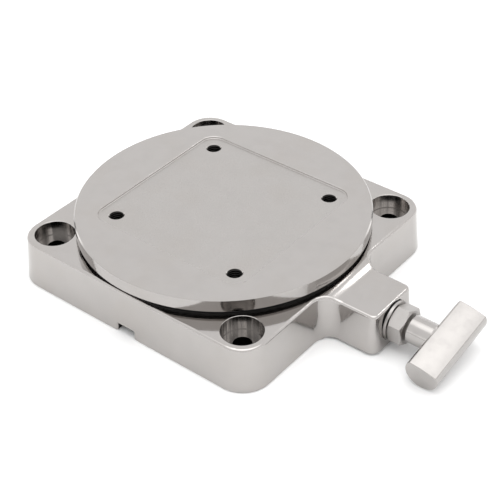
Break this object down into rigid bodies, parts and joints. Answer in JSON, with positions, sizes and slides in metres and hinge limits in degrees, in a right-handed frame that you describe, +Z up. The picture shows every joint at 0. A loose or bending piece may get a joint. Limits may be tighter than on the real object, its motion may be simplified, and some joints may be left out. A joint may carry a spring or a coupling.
{
  "type": "rotary table",
  "caption": "Square cast swivel base with a round turntable plate, a tapped square seat for a bench vice and a T-handle clamp screw on one side.",
  "frame": {"origin": "on the turntable's axis, on the underside of the base, at the centre of the bench bolt pattern", "axes": "+Z up along the turntable's axis, +X out along the clamp screw towards the T-handle, the key slot under the base runs along Y"},
  "size_m": [0.2141, 0.1498, 0.0338],
  "materials": {
    "polished_nickel": "bright nickel plate on a polished casting",
    "satin_nickel": "nickel plate on turned and milled steel",
    "bronze": "turned bearing bronze, oiled",
    "brass": "turned brass",
    "black_rubber": "moulded nitrile rubber",
    "black_oxide": "black oxide on steel",
    "bright_steel": "ground steel"
  },
  "bodies": {
    "base": {"base_casting": "polished_nickel", "spindle_bush": "bronze", "upper_thrust_washer": "bronze", "lower_thrust_washer": "bronze", "guide_bush": "satin_nickel", "guide_bush_washer": "black_oxide"},
    "turntable": {"turntable_plate": "polished_nickel", "dust_seal": "black_rubber", "keeper_plate": "bright_steel", "keeper_screw_1": "black_oxide", "keeper_screw_2": "black_oxide", "keeper_screw_3": "black_oxide", "keeper_screw_4": "black_oxide", "keeper_screw_5": "black_oxide", "keeper_screw_6": "black_oxide"},
    "clamp_shoe": {"clamp_shoe": "brass", "shoe_clip": "bright_steel"},
    "clamp_handle": {"clamp_screw": "bright_steel", "thrust_ball": "bright_steel", "t_handle": "satin_nickel", "handle_lock_screw": "black_oxide"}
  },
  "joints": [
    {"name": "turntable_spin", "type": "hinge", "parent": "base", "child": "turntable", "pos_m": [0, 0, 0], "axis": [0, 0, 1], "continuous": true},
    {"name": "clamp_feed", "type": "slide", "parent": "base", "child": "clamp_shoe", "axis": [1, 0, 0], "range_m": [-0.00022, 0.003]},
    {"name": "clamp_screw_turn", "type": "hinge", "parent": "clamp_shoe", "child": "clamp_handle", "pos_m": [0.062, 0, 0.0122], "axis": [1, 0, 0], "range_deg": [-54.01, 720.01]}
  ],
  "couplings": [
    {"joint": "clamp_screw_turn", "follows": "clamp_feed", "rad_per_m": 4188.8}
  ]
}
